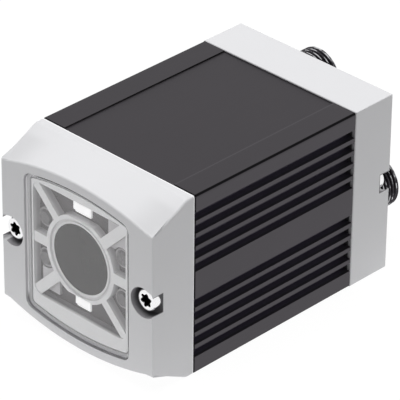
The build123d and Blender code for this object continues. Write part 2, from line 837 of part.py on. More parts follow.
def connector_shell(place):
    """Metal shell: flange behind the rear wall, plain neck, then the outside thread."""
    x, z = place[0], middle_z + place[1]
    with BuildPart() as shell:
        with BuildSketch(across(io_board_back_y, x, z)):
            Circle(shell_tail_radius)
        extrude(amount=-(flange_front_y - io_board_back_y))
        with BuildSketch(across(flange_front_y, x, z)):
            Circle(shell_flange_radius)
        extrude(amount=-shell_flange_thickness)
        with BuildSketch(across(flange_back_y, x, z)):
            Circle(thread_radius)
        extrude(amount=-(tip_y - flange_back_y))
        chamfer(shell.edges().filter_by(GeomType.CIRCLE).group_by(Axis.Y)[-1], thread_chamfer)
        with BuildSketch(across(rear_back_y, x, z)):
            Circle(thread_radius)
            Circle(neck_radius, mode=Mode.SUBTRACT)
        extrude(amount=-neck_length, mode=Mode.SUBTRACT)
        with BuildSketch(across(io_board_back_y, x, z)):
            Circle(shell_bore_radius)
        extrude(amount=-(tip_y - io_board_back_y), mode=Mode.SUBTRACT)
    return shell


def connector_insert(place, depth, points):
    """Moulded insert in the shell's bore, with a hole for each contact."""
    x, z = place[0], middle_z + place[1]
    with BuildPart() as insert:
        with BuildSketch(across(io_board_back_y, x, z)):
            Circle(shell_bore_radius - insert_clearance)
            with Locations(*points):
                Circle(contact_radius + contact_clearance, mode=Mode.SUBTRACT)
        extrude(amount=-(tip_y - depth - io_board_back_y))
    return insert


def connector_contacts(place, depth, points):
    """Contact pins of one connector, standing on the board behind it."""
    x, z = place[0], middle_z + place[1]
    with BuildPart() as contacts:
        with BuildSketch(across(io_board_back_y, x, z)):
            with Locations(*points):
                Circle(contact_radius)
        extrude(amount=-(tip_y - depth - io_board_back_y))
    return contacts


power_points = contact_points(power_contact_circle, power_contact_count, True)
network_points = contact_points(network_contact_circle, network_contact_count, False)
data_points = contact_points(data_contact_circle, data_contact_count, True)
connectors = {
    "power": (connector_places["power"], power_points, plug_insert_depth, plug_contact_depth),
    "network": (connector_places["network"], network_points, socket_insert_depth, socket_contact_depth),
    "data": (connector_places["data"], data_points, plug_insert_depth, plug_contact_depth),
}

# Flat seals between the connector flanges and the rear wall
with BuildPart() as connector_seals:
    with BuildSketch(across(rear_wall_y)):
        with Locations(*connector_places.values()):
            Circle(shell_flange_radius)
            Circle(thread_radius + seal_clearance, mode=Mode.SUBTRACT)
    extrude(amount=seal_thickness)

pieces = {
    "front_cover": front_cover,
    "window_pane": window_pane,
    "light_carrier": light_carrier,
    "filter_glass": filter_glass,
    "illumination_board": illumination_board,
    "bar_lamps": bar_lamps,
    "round_lamps": round_lamps,
    "front_screws": front_screws,
    "front_gasket": front_gasket,
    "body_extrusion": body_extrusion,
    "rear_gasket": rear_gasket,
    "rear_cover": rear_cover,
    "rear_screws": rear_screws,
    "optics_plate": optics_plate,
    "guide_pins": guide_pins,
    "lens_carriage": lens_carriage,
    "lens_barrel": lens_barrel,
    "front_lens": front_lens,
    "rear_lens": rear_lens,
    "focus_spindle": focus_spindle,
    "spindle_seal": spindle_seal,
    "spindle_clip": spindle_clip,
    "sensor_board": sensor_board,
    "image_sensor": image_sensor,
    "processor_board": processor_board,
    "processor_chip": processor_chip,
    "memory_chips": memory_chips,
    "io_board": io_board,
    "board_sockets": board_sockets,
    "board_spacers": board_spacers,
    "stack_screws": stack_screws,
    "status_light_guide": status_light_guide,
    "status_lamps": status_lamps,
    "connector_seals": connector_seals,
}
for name, (place, points, insert_depth, contact_depth) in connectors.items():
    pieces[f"{name}_connector_shell"] = connector_shell(place)
    pieces[f"{name}_connector_insert"] = connector_insert(place, insert_depth, points)
    pieces[f"{name}_connector_contacts"] = connector_contacts(place, contact_depth, points)

for name, piece in pieces.items():
    piece.part.label = name
    export_step(piece.part, f"parts/{name}.step")
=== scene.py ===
# %% [markdown]
# # Machine vision camera, dressed for the studio
#
# The object is a small industrial camera: a dark finned aluminium body between two pale grey
# plastic covers. A clear pane in the arched front cover protects a ring of lamps and the lens,
# and threaded round connectors stand on the rear face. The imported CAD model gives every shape
# and size. This script adds what CAD leaves out: finishes, screw heads, threads and light.

import json
from math import acos, asin, copysign, cos, hypot, pi, radians, sin, sqrt, tau

import bmesh
import bpy
from mathutils import Matrix, Vector

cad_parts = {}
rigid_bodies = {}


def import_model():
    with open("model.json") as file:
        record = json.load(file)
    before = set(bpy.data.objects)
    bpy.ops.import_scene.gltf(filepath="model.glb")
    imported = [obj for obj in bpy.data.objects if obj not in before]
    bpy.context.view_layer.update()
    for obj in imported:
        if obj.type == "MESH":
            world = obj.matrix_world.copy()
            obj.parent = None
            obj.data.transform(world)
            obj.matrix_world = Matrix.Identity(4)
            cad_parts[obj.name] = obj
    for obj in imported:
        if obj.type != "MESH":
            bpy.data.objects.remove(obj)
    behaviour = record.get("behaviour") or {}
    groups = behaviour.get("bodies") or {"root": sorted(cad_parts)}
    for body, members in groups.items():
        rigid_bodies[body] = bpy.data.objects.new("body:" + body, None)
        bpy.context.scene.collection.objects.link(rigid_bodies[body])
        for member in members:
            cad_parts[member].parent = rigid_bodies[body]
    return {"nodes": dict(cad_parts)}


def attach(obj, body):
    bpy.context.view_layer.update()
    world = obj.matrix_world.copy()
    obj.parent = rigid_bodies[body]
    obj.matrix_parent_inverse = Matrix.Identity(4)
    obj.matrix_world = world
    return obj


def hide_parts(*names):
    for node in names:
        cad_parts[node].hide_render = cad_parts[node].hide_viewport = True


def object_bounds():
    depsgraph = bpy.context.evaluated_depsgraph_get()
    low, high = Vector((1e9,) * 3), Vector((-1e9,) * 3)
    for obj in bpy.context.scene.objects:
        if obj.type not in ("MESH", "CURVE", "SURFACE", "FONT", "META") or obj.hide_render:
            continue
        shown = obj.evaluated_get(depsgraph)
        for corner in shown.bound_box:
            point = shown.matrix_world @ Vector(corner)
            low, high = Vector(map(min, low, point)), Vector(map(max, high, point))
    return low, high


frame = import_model()
cad_low, cad_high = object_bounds()
nodes = frame["nodes"]
mm = 0.001
print("CAD box in mm:", [round(v / mm, 2) for v in (*cad_low, *cad_high)])

# %% [markdown]
# ## Measures that the pieces share
#
# The CAD box gives the outside. The rest are the stations along the optical axis and the places
# of screws and connectors, in millimetres, so that every piece below can be read on its own.

# %% Stations and places
front, tip = cad_low[1] / mm, cad_high[1] / mm
half_width, height = cad_high[0] / mm, cad_high[2] / mm
middle = height / 2
rear = tip - 12.0
front_joint = front + 12.0
body_front, body_back = front + 12.45, rear - 11.8
screw_side = half_width - 2.8
pocket_radius, pocket_depth = 3.55, 3.0
connector_side, connector_rise = 9.3, 9.9
recess_side = half_width - 6.3
front_rise, rear_rise = 0.15, 0.6
light_axis = middle + 1.2
lamp_x, lamp_z = 11.45, 4.95
print("front", round(front, 3), "body", round(body_front, 3), round(body_back, 3), "rear", round(rear, 3))

# %% [markdown]
# ## Camera
#
# The object is seen with a long lens from above its right front corner. A long lens keeps its
# straight edges nearly parallel. The view is placed by a direction, a small roll, a distance, a
# target and a focal length, and nothing is shifted or cropped.

# %% Place the camera
view_azimuth = radians(44.29)
view_elevation = radians(31.12)
view_roll = radians(0.58)
view_distance = 727 * mm
view_target = Vector((-0.35, -5.07, 22.09)) * mm
focal_length = 305.7

back = Vector((sin(view_azimuth) * cos(view_elevation), -cos(view_azimuth) * cos(view_elevation), sin(view_elevation)))
level = Vector((0, 0, 1)).cross(back).normalized()
right = Matrix.Rotation(view_roll, 3, back) @ level
up = back.cross(right)

camera_data = bpy.data.cameras.new("product_camera")
camera_data.lens = focal_length
camera_data.sensor_width = 36
camera_data.clip_start = 0.01
camera = bpy.data.objects.new("product_camera", camera_data)
turn = Matrix((right, up, back)).transposed().to_4x4()
camera.matrix_world = Matrix.Translation(view_target + view_distance * back) @ turn
bpy.context.scene.collection.objects.link(camera)
bpy.context.scene.camera = camera
bpy.context.scene.view_settings.view_transform = "Standard"
print("camera stands at", [round(v, 3) for v in camera.location])

# %% [markdown]
# ## Small helpers
#
# Colours are written as sRGB hex values, the way a colour card gives them, and Blender's
# sockets want linear light, so one function converts them. A second one adds a node with its
# settings and links, for shader trees and geometry trees alike. The short ones after it only
# give the steps that come back in every finish a name.

# %% Colour and node helpers
def linear(hex_colour):
    """Linear RGBA of an sRGB hex colour."""
    channels = [int(hex_colour[i:i + 2], 16) / 255 for i in (1, 3, 5)]
    return (*[c / 12.92 if c <= 0.04045 else ((c + 0.055) / 1.055) ** 2.4 for c in channels], 1.0)


def add_node(tree, kind, inputs=None, **settings):
    """Adds a node, applies its settings, then fills each named or numbered input with a value or a link."""
    node = tree.nodes.new(kind)
    for name, value in settings.items():
        setattr(node, name, value)
    for socket, value in (inputs or {}).items():
        if isinstance(value, bpy.types.NodeSocket):
            tree.links.new(value, node.inputs[socket])
        else:
            node.inputs[socket].default_value = value
    return node


def compute(tree, operation, *values):
    """One step of arithmetic on numbers or sockets."""
    return add_node(tree, "ShaderNodeMath", dict(enumerate(values)), operation=operation).outputs[0]


def product(tree, first, *others):
    """Multiplies numbers or sockets, from left to right."""
    for other in others:
        first = compute(tree, "MULTIPLY", first, other)
    return first


def from_pair(tree, value, spread, centre=0.0):
    """Offset from the nearer of two places that stand at the same spread on both sides of a centre."""
    return compute(tree, "SUBTRACT", compute(tree, "ABSOLUTE", compute(tree, "SUBTRACT", value, centre)), spread)


def distance(tree, beside, above):
    """Distance from an axis, given the offsets beside and above it."""
    return compute(tree, "SQRT", compute(tree, "ADD", product(tree, beside, beside), product(tree, above, above)))


def ramp(tree, value, zero_at, one_at):
    """Rises softly from 0 to 1 between two values."""
    inputs = {"Value": value, "From Min": zero_at, "From Max": one_at}
    return add_node(tree, "ShaderNodeMapRange", inputs, interpolation_type="SMOOTHSTEP").outputs[0]


def blend(tree, factor, colour, other):
    """Mixes two colours, each a hex text or a socket."""
    colour, other = [linear(c) if isinstance(c, str) else c for c in (colour, other)]
    return add_node(tree, "ShaderNodeMix", {0: factor, 6: colour, 7: other}, data_type="RGBA").outputs[2]


def noise(tree, place, size, detail=2.0, stretch=(1, 1, 1)):
    """Value noise whose grains are about size millimetres, drawn out along an axis if asked."""
    scale = tuple(1 / (size * mm * s) for s in stretch)
    scaled = add_node(tree, "ShaderNodeVectorMath", {0: place, 1: scale}, operation="MULTIPLY").outputs[0]
    return add_node(tree, "ShaderNodeTexNoise", {"Vector": scaled, "Scale": 1.0, "Detail": detail}).outputs["Fac"]


def relief(tree, grain, height, strength):
    """Fine bumps that follow a grain, height millimetres deep."""
    return add_node(tree, "ShaderNodeBump", {"Height": grain, "Distance": height * mm, "Strength": strength}).outputs[0]


def sheen(tree, grain, smooth, rough):
    """Roughness that wanders with a grain between two values."""
    return add_node(tree, "ShaderNodeMapRange", {"Value": grain, "To Min": smooth, "To Max": rough}).outputs[0]


def millimetres(tree, place):
    """The X, Y and Z of the object coordinates, in millimetres."""
    scaled = add_node(tree, "ShaderNodeVectorMath", {0: place, "Scale": 1 / mm}, operation="SCALE")
    return add_node(tree, "ShaderNodeSeparateXYZ", {0: scaled.outputs[0]}).outputs


def start_material(name):
    """An empty material, its tree, and the object coordinates that every pattern here reads."""
    material = bpy.data.materials.new(name)
    material.use_nodes = True
    tree = material.node_tree
    tree.nodes.clear()
    place = add_node(tree, "ShaderNodeTexCoord").outputs["Object"]
    return material, tree, place


def finish_material(tree, **sockets):
    """A principled surface with the given sockets, connected to the material's output."""
    inputs = {name.replace("_", " "): value for name, value in sockets.items()}
    skin = add_node(tree, "ShaderNodeBsdfPrincipled", inputs)
    add_node(tree, "ShaderNodeOutputMaterial", {"Surface": skin.outputs[0]})
    return skin

# %% Object and mesh helpers
def add_object(name, data):
    """A new object at the origin, linked into the scene."""
    thing = bpy.data.objects.new(name, data)
    bpy.context.scene.collection.objects.link(thing)
    return thing


def close_mesh(work, name):
    """Turns the faces outwards and writes the worked shape to a mesh of its own."""
    bmesh.ops.recalc_face_normals(work, faces=work.faces)
    mesh = bpy.data.meshes.new(name)
    work.to_mesh(mesh)
    work.free()
    return mesh

# %% [markdown]
# ## Stage and light
#
# The camera stands on pure white with soft light from above: the tops of the covers are the
# brightest, and the upright faces grow lighter towards the floor that lights them from below.
# A wide lamp overhead, a dim even sky and a pale floor give that, with a faint glow in the floor
# about the object and a weak lamp low in front that opens up the window. The floor and the sky
# look white to the lens and to glossy parts, and the floor keeps a trace of the shadow.

# %% Floor
floor_size = 4.0
floor_drop = 0.05 * mm
glow_reach = 36.0
half_floor = floor_size / 2
floor_mesh = bpy.data.meshes.new("studio_floor")
corners = ((-half_floor, -half_floor), (half_floor, -half_floor), (half_floor, half_floor), (-half_floor, half_floor))
floor_mesh.from_pydata([(x, y, cad_low[2] - floor_drop) for x, y in corners], [], [(0, 1, 2, 3)])
floor = add_object("studio_floor", floor_mesh)


def seen_directly(tree):
    """1 for rays from the lens, for reflections and through clear parts; 0 for the light that falls on things."""
    path = add_node(tree, "ShaderNodeLightPath").outputs
    seen = compute(tree, "MAXIMUM", path["Is Camera Ray"], path["Is Glossy Ray"])
    return compute(tree, "MAXIMUM", seen, path["Is Transmission Ray"])


def paper_with_glow(tree, albedo, strength):
    """A dull white sheet that also shines a little."""
    sheet = add_node(tree, "ShaderNodeBsdfDiffuse", {"Color": linear(albedo)})
    shine = add_node(tree, "ShaderNodeEmission", {"Color": linear("#FFFFFF"), "Strength": strength})
    return add_node(tree, "ShaderNodeAddShader", {0: sheet.outputs[0], 1: shine.outputs[0]}).outputs[0]


paper, tree, place = start_material("white_paper_sweep")
x, y, z = millimetres(tree, place)
beside = compute(tree, "MAXIMUM", from_pair(tree, x, half_width), 0.0)
before = compute(tree, "MAXIMUM", from_pair(tree, y, -front), 0.0)
glow = product(tree, ramp(tree, distance(tree, beside, before), glow_reach, 0.0), 0.58)
lighting_paper = paper_with_glow(tree, "#DEDEDE", glow)
visible_paper = paper_with_glow(tree, "#484848", 0.95)
mixed = add_node(tree, "ShaderNodeMixShader", {0: seen_directly(tree), 1: lighting_paper, 2: visible_paper})
add_node(tree, "ShaderNodeOutputMaterial", {"Surface": mixed.outputs[0]})
floor_mesh.materials.append(paper)

# %% Sky and lamps
sky_strength = 0.2
world = bpy.data.worlds.new("studio_sky")
bpy.context.scene.world = world
world.use_nodes = True
tree = world.node_tree
tree.nodes.clear()
soft_sky = add_node(tree, "ShaderNodeBackground", {"Color": linear("#FFFFFF"), "Strength": sky_strength})
white_sky = add_node(tree, "ShaderNodeBackground", {"Color": linear("#FFFFFF"), "Strength": 1.0})
mixed = add_node(tree, "ShaderNodeMixShader", {0: seen_directly(tree), 1: soft_sky.outputs[0], 2: white_sky.outputs[0]})
add_node(tree, "ShaderNodeOutputWorld", {"Surface": mixed.outputs[0]})


def soft_lamp(name, place, aim, size, power):
    """A square area lamp at a place, turned towards the point it lights."""
    data = bpy.data.lights.new(name, "AREA")
    data.shape = "SQUARE"
    data.size = size
    data.energy = power
    lamp = add_object(name, data)
    lamp.location = place
    lamp.rotation_euler = (Vector(aim) - Vector(place)).to_track_quat("-Z", "Y").to_euler()
    return lamp


centre = Vector((0, 0, middle * mm))
overhead = soft_lamp("overhead_softbox", (-0.03, 0.02, 0.75), centre, 0.9, 8.6)
overhead.visible_glossy = False
fill = soft_lamp("front_fill", (-0.25, -0.9, 0.12), centre, 0.5, 1.05)
fill.visible_glossy = False
print("lamps:", {lamp.name: round(lamp.data.energy, 2) for lamp in (overhead, fill)}, "W")

# %% [markdown]
# ## Covers
#
# The covers are injection moulded in pale grey plastic with the fine grain of a spark-eroded
# mould. The screw pockets are painted darker with depth, as painted shade where no light finds
# its way in beside the heads. The rear rim of the front cover is a sharp edge, and a painted
# highlight draws it as a bright line. Painted shade also darkens the outer parts of the top slope
# and the rear cover's face where it meets the body.

# %% Moulded plastic of the covers
def from_screw(tree, x, y, z):
    """Distance from the nearest screw's axis, and depth behind the outer face of its cover."""
    behind = compute(tree, "GREATER_THAN", y, 0.0)
    screw_height = compute(tree, "MULTIPLY_ADD", behind, rear_rise - front_rise, middle + front_rise)
    reach = distance(tree, from_pair(tree, x, screw_side), compute(tree, "SUBTRACT", z, screw_height))
    depth = compute(tree, "MINIMUM", compute(tree, "SUBTRACT", y, front), compute(tree, "SUBTRACT", rear, y))
    return reach, depth


def cover_finish(name, colour, deeper_colour):
    """Injection-moulded plastic, with painted shade in the screw pockets, on the outer parts of the top slope and at
    the rear joint, and a painted highlight along the rear rim.
    """
    material, tree, place = start_material(name)
    x, y, z = millimetres(tree, place)
    tint = blend(tree, noise(tree, place, 18, 3.0), colour, deeper_colour)
    reach, depth = from_screw(tree, x, y, z)
    # Painted shade: the walls of the screw pockets grow darker with depth.
    within = ramp(tree, reach, pocket_radius + 0.15, pocket_radius + 0.05)
    inside = product(tree, within, ramp(tree, depth, pocket_depth + 0.2, pocket_depth + 0.1))
    tint = blend(tree, product(tree, inside, ramp(tree, depth, 0.0, 0.25), 0.9), tint, "#8C8A8E")
    tint = blend(tree, product(tree, inside, ramp(tree, depth, 0.2, 2.6), 0.9), tint, "#38373A")
    # Painted highlight: a bright line along the rear rim of the front cover.
    rim_start = ramp(tree, y, front_joint - 0.32, front_joint - 0.2)
    rim_end = ramp(tree, y, front_joint + 0.1, front_joint + 0.02)
    tint = blend(tree, product(tree, rim_start, rim_end, 0.6), tint, "#F2F2F3")
    # Painted shade: the outer parts of the top slope are a little darker.
    side = compute(tree, "ABSOLUTE", x)
    end = product(tree, ramp(tree, side, 13.0, 20.0), ramp(tree, side, half_width - 0.03, half_width - 0.1))
    slope = product(tree, ramp(tree, y, front + 0.2, front + 0.6), ramp(tree, y, front + 8.0, front + 6.0))
    slope = product(tree, slope, ramp(tree, z, middle + 8.0, middle + 9.0))
    tint = blend(tree, product(tree, end, slope), tint, "#C0C0C2")
    # Painted shade: the rear cover's face is darker where it meets the body.
    joint = product(tree, ramp(tree, y, body_back + 0.6, body_back + 0.15), ramp(tree, y, 0.0, 1.0))
    tint = blend(tree, product(tree, joint, 0.6), tint, "#7A787C")
    pits = noise(tree, place, 0.35)
    finish_material(
        tree, Base_Color=tint, Roughness=sheen(tree, pits, 0.4, 0.5), Normal=relief(tree, pits, 0.012, 0.5),
        IOR=1.52)
    return material


cover_plastic = cover_finish("moulded_light_grey_polyamide", "#CBCBCD", "#C7C7C9")
print("covers:", cover_plastic.name)

# %% [markdown]
# ## Finned body
#
# The body is an extrusion, blasted and dyed dark grey. The die leaves faint lines along its
# length. Its long outer corners are rounded, and a painted dark reflection draws them nearly
# black. Painted light makes the grooves a shade paler, as if they caught light from their own
# walls, and painted shade darkens the top. The edges of the flat recess on top show as a dark
# line of painted shade and a pale line of painted highlight.

# %% Anodised aluminium of the body
def extruded_aluminium(name, colour, deeper_colour):
    """Dark dyed anodising on a blasted extrusion: a broad metal sheen and die lines, with painted light and shade on
    the top, the recess edges, the grooves and the outer corners.
    """
    material, tree, place = start_material(name)
    x, y, z = millimetres(tree, place)
    tint = blend(tree, noise(tree, place, 14, 4.0), colour, deeper_colour)
    lines = noise(tree, place, 0.5, 2.0, stretch=(1, 60, 1))
    tint = blend(tree, product(tree, lines, 0.25), tint, "#5A575C")
    side = compute(tree, "ABSOLUTE", x)
    # Painted shade: the top and the uppermost millimetre of the sides are darker.
    tint = blend(tree, product(tree, ramp(tree, z, height - 1.0, height - 0.4), 0.55), tint, "#3E3B3F")
    # Painted shade: a dark line on the left wall of the recess on top, darker towards the rear.
    step = ramp(tree, x, 0.3 - recess_side, 0.05 - recess_side)
    step = product(tree, step, ramp(tree, z, height - 0.32, height - 0.28))
    step = product(tree, step, ramp(tree, y, body_front - 15.0, body_back))
    step = product(tree, step, ramp(tree, x, -0.05 - recess_side, -0.02 - recess_side))
    tint = blend(tree, step, tint, "#2E2C2F")
    # Painted highlight: a pale line along the right edge of the recess on top.
    edge = ramp(tree, x, recess_side - 0.05, recess_side)
    edge = product(tree, edge, ramp(tree, x, recess_side + 0.4, recess_side + 0.25))
    tint = blend(tree, product(tree, edge, ramp(tree, z, height - 0.1, height - 0.05), 0.28), tint, "#6C696E")
    # Painted light: the grooves are a shade paler.
    groove = ramp(tree, side, half_width - 0.5, half_width - 0.9)
    groove = product(tree, groove, ramp(tree, z, height - 1.5, height - 2.0))
    tint = blend(tree, product(tree, groove, 0.24), tint, "#8A849E")
    # Painted dark reflection: the long outer corners are nearly black.
    outermost = ramp(tree, side, half_width - 0.5, half_width - 0.3)
    corner = product(tree, outermost, ramp(tree, from_pair(tree, z, 0.0, middle), middle - 0.5, middle - 0.3))
    tint = blend(tree, corner, tint, "#131214")
    dimples = noise(tree, place, 0.2)
    finish_material(tree, Base_Color=tint, Metallic=1.0, Roughness=0.5, Normal=relief(tree, dimples, 0.006, 0.4))
    return material


body_metal = extruded_aluminium("blasted_dark_anodised_aluminium", "#4F4C50", "#4A484B")
print("body:", body_metal.name)

# %% [markdown]
# ## Refined copies of the housing
#
# The real housing differs from the CAD model by a few tenths of a millimetre: its body is flush
# with the covers, the corners are sharper, the joints narrower, the window and what stands in it
# shallower, two spokes narrower, and the screw pockets wider and set a little higher behind than
# in front. Each piece is a welded copy of the CAD mesh, and a short rule says where its points
# go, so no form is drawn twice. The pane's back is also lifted off its ledge by the film of glue,
# because two faces in one place confuse the ray tracer.

# %% Copy and reshape
def finish_mesh(mesh, sharp_angle=32):
    """Soft shading that follows the larger faces about each corner and stops at edges sharper than the angle."""
    mesh.shade_smooth()
    limit = cos(radians(sharp_angle))
    about = [[] for vertex in mesh.vertices]
    for face in mesh.polygons:
        for index in face.vertices:
            about[index].append((face.normal.copy(), face.area))
    corners = []
    for face in mesh.polygons:
        for index in face.vertices:
            total = Vector()
            for normal, area in about[index]:
                if normal.dot(face.normal) > limit:
                    total += area * normal
            corners.append(total.normalized())
    mesh.normals_split_custom_set(corners)


def reshaped_copy(node_name, name, rule):
    """A welded copy of a CAD node's mesh, each point moved by the rule, which works in millimetres."""
    work = bmesh.new()
    work.from_mesh(nodes[node_name].data)
    bmesh.ops.remove_doubles(work, verts=work.verts, dist=0.001 * mm)
    for vertex in work.verts:
        vertex.co = Vector(rule(*(vertex.co / mm))) * mm
    bmesh.ops.remove_doubles(work, verts=work.verts, dist=0.001 * mm)
    mesh = close_mesh(work, name)
    finish_mesh(mesh)
    return add_object(name, mesh)


def through(value, knots):
    """Follows straight lines through (old, new) pairs; beyond the ends the offset of the end pair holds."""
    if value <= knots[0][0]:
        return value + knots[0][1] - knots[0][0]
    for (old, new), (next_old, next_new) in zip(knots, knots[1:]):
        if value <= next_old:
            return new + (value - old) * (next_new - new) / (next_old - old)
    return value + knots[-1][1] - knots[-1][0]

# %% Rules for the covers
def widen_pocket(side, rise, y):
    """Moves the wall of a screw pocket out from the CAD radius to the real one, and up a little."""
    lift = rear_rise if y > 0 else front_rise
    inward, cad_radius = side - screw_side, 3.45
    behind_pocket = rear - pocket_depth - 0.01 > y > front + pocket_depth + 0.01
    if behind_pocket or abs(hypot(inward, rise) - cad_radius) > 0.03:
        return side, rise
    if side > half_width - 0.01:
        return side, copysign(sqrt(pocket_radius ** 2 - inward ** 2), rise) + lift
    grown = pocket_radius / cad_radius
    return min(screw_side + inward * grown, half_width), rise * grown + lift


def front_cover_rule(x, y, z):
    """Wider pockets, upright front corners of 0.25 mm instead of 1 mm, and a shallower ledge."""
    side, rise = widen_pocket(abs(x), z - middle, y)
    if half_width - side < 1.001 and y - front < 1.001:
        side, y = half_width - 0.25 * (half_width - side), front + 0.25 * (y - front)
    if abs(y - front - 1.85) < 0.01 or abs(y - front - 3.05) < 0.01:
        y -= 0.4
    return copysign(side, x), y, middle + rise


def rear_cover_rule(x, y, z):
    """Wider pockets, outer edges of 0.15 mm instead of 0.4 mm, and a joint that all but closes."""
    side, rise = widen_pocket(abs(x), z - middle, y)
    tight = 0.15 / 0.4
    beside, above, behind = half_width - side, middle - abs(rise), rear - y
    side = half_width - (tight * beside if beside < 0.401 else beside)
    rise = copysign(middle - (tight * above if above < 0.401 else above), rise)
    y = rear - (tight * behind if behind < 0.401 else behind)
    return copysign(side, x), y if y > rear - 11.4 else body_back + 0.1, middle + rise

# %% Where the CAD planes go, as (old, new) pairs in millimetres
body_side_knots = [(18.3, 18.3), (20.1, 20.5), (22.1, 22.5)]
body_rise_knots = [
    (0.4, 0.0), (0.9, 0.55), (1.4, 1.4),
    (42.0, 42.0), (42.5, height - 0.3), (42.501, 42.901), (43.0, height),
]
gasket_knots = [(-30.05, front_joint), (-29.55, body_front), (18.05, body_back), (18.55, body_back + 0.1)]
carrier_knots = [
    (-40.2, -40.6), (-40.1, -40.5), (-39.65, -40.25), (-39.45, -40.05),
    (-39.1, -39.7), (-39.0, -39.4), (-38.4, -39.0), (-37.8, -38.45),
]
pane_knots = [(-41.8, -41.8), (-40.2, -40.57)]
bar_lamp_knots = [(-38.7, -38.9), (-37.8, -38.45)]
spoke_half, spoke_narrow = 1.25, 0.8
print("pane from", pane_knots[0][1], "to", pane_knots[1][1])

# %% Rules for the body, the gaskets and what stands in the window
def body_rule(x, y, z):
    """Flush with the covers, a shallower recess on top, and a little longer."""
    side = through(abs(x), body_side_knots)
    rise = through(z, body_rise_knots)
    return copysign(side, x), body_front if y < 0 else body_back, max(rise, 0.0)


def gasket_rule(x, y, z):
    """Set back behind the sides in front, where a dark gap shows; nearly flush behind."""
    side = abs(x) - ((1.9 if y < 0 else 0.45) if abs(x) > 22 else 0)
    back = 0.8 if y < 0 else -0.2
    rise = z + (back if z < 0.5 else -back if z > 42.9 else 0)
    return copysign(side, x), through(y, gasket_knots), rise


def bar_lamp_rule(x, y, z):
    """Both bars stand a little to the left, and the lower one is narrower."""
    narrow = 1.0 if z > middle else 0.85
    return narrow * x - 0.6, through(y, bar_lamp_knots), z


def carrier_rule(x, y, z):
    """Shallower behind the pane, and the two spokes from upper left to lower right are narrower."""
    along, across = (z - light_axis - x) / sqrt(2), (z - light_axis + x) / sqrt(2)
    if 9.0 < abs(along) < 22.0 and abs(across) < spoke_half + 0.02:
        across *= spoke_narrow
    return (across - along) / sqrt(2), through(y, carrier_knots), light_axis + (across + along) / sqrt(2)


def slide(amount):
    """A rule that only moves a piece along the optical axis."""
    return lambda x, y, z: (x, y + amount, z)


copies = {
    "front_cover": front_cover_rule, "rear_cover": rear_cover_rule, "body_extrusion": body_rule,
    "front_gasket": gasket_rule, "rear_gasket": gasket_rule,
    "window_pane": lambda x, y, z: (x, through(y, pane_knots), z),
    "light_carrier": carrier_rule,
    "filter_glass": slide(-0.6), "illumination_board": slide(-0.65), "round_lamps": slide(-0.65),
    "bar_lamps": bar_lamp_rule,
}
refined = {name: reshaped_copy(name, "refined_" + name, rule) for name, rule in copies.items()}
print("refined copies:", {name: len(piece.data.polygons) for name, piece in refined.items()})

# %% [markdown]
# ## Square bosses
#
# Two square steps are moulded on the carrier beside its ring, each cut round where a lamp stands.
# They could be carved from the carrier, but a flat outline raised by a wall is simpler, as the
# same outline turned half round serves for both.

# %% Two square bosses on the carrier
def square_boss(work, turn):
    """A square step beside a diagonal spoke, cut round where a lamp stands; turn is 1 or -1."""
    floor_y, top_y = front + 3.6, front + 2.9
    low_x, low_z, high, clear = 7.4, 6.3, 12.5, 2.5
    first = acos((low_z - lamp_z) / clear)
    last = asin((high - lamp_x) / clear)
    arc = [first + (-last - first) * i / 8 for i in range(9)]
    cut = [(lamp_x - clear * sin(a), lamp_z + clear * cos(a)) for a in arc]
    outline = [(low_x, low_z), *cut, (high, high), (low_x, high)]
    rows = []
    for y in (top_y, floor_y):
        rows.append([work.verts.new(Vector((turn * a, y, light_axis + turn * b)) * mm) for a, b in outline])
    work.faces.new(rows[0])
    work.faces.new(rows[1])
    for i in range(len(outline)):
        j = (i + 1) % len(outline)
        work.faces.new((rows[0][i], rows[0][j], rows[1][j], rows[1][i]))


work = bmesh.new()
for turn in (1, -1):
    square_boss(work, turn)
boss_mesh = close_mesh(work, "carrier_bosses")
finish_mesh(boss_mesh)
bosses = add_object("carrier_bosses", boss_mesh)
print("bosses:", len(boss_mesh.polygons), "faces")

# %% [markdown]
# ## Pane and filter
#
# The pane is clear acrylic, cut from a sheet. Its faces are polished, but its edge was sawn and
# ground, so light that runs inside the sheet leaves it there and the edge looks white. The edge
# gets a finish of its own with painted light, a faint glow that is cheaper than tracing that
# light, and painted shade darkens it along the bottom. The filter glass in the ring is coated and
# nearly opaque.

# %% Clear pane and filter glass
def clear_plastic(name, colour, index=1.49, gloss=0.25):
    """Polished clear plastic or glass, which bends the light and mirrors a little of it."""
    material, tree, place = start_material(name)
    polish = sheen(tree, noise(tree, place, 6), 0.0, 0.01)
    skin = finish_material(tree, Base_Color=linear(colour), Roughness=polish, IOR=index, Transmission_Weight=1.0)
    skin.inputs["Specular IOR Level"].default_value = gloss
    return material


def dark_filter(name, colour, deeper_colour):
    """Coated filter glass in front of the lens: nearly opaque grey with a polished face."""
    material, tree, place = start_material(name)
    tint = blend(tree, noise(tree, place, 5, 1.0), colour, deeper_colour)
    finish_material(tree, Base_Color=tint, Roughness=0.12, IOR=1.25)
    return material


pane_plastic = clear_plastic("polished_clear_acrylic", "#FFFFFF")


def ground_edge(name):
    """Sawn and ground edge of the acrylic, with painted light: it glows in place of the light it would collect, and
    painted shade darkens it along the bottom.
    """
    material, tree, place = start_material(name)
    x, y, z = millimetres(tree, place)
    # Painted shade: the edge is darker along the bottom.
    tint = blend(tree, ramp(tree, z, 9.0, 7.0), "#F2F1F3", "#77757A")
    scratches = noise(tree, place, 0.2, stretch=(4, 1, 4))
    scratched = blend(tree, product(tree, scratches, 0.1), tint, "#FFFFFF")
    # Painted light: a faint glow stands in for the light the edge collects.
    finish_material(tree, Base_Color=scratched, Roughness=0.7, IOR=1.49, Emission_Color=tint, Emission_Strength=0.13)
    return material


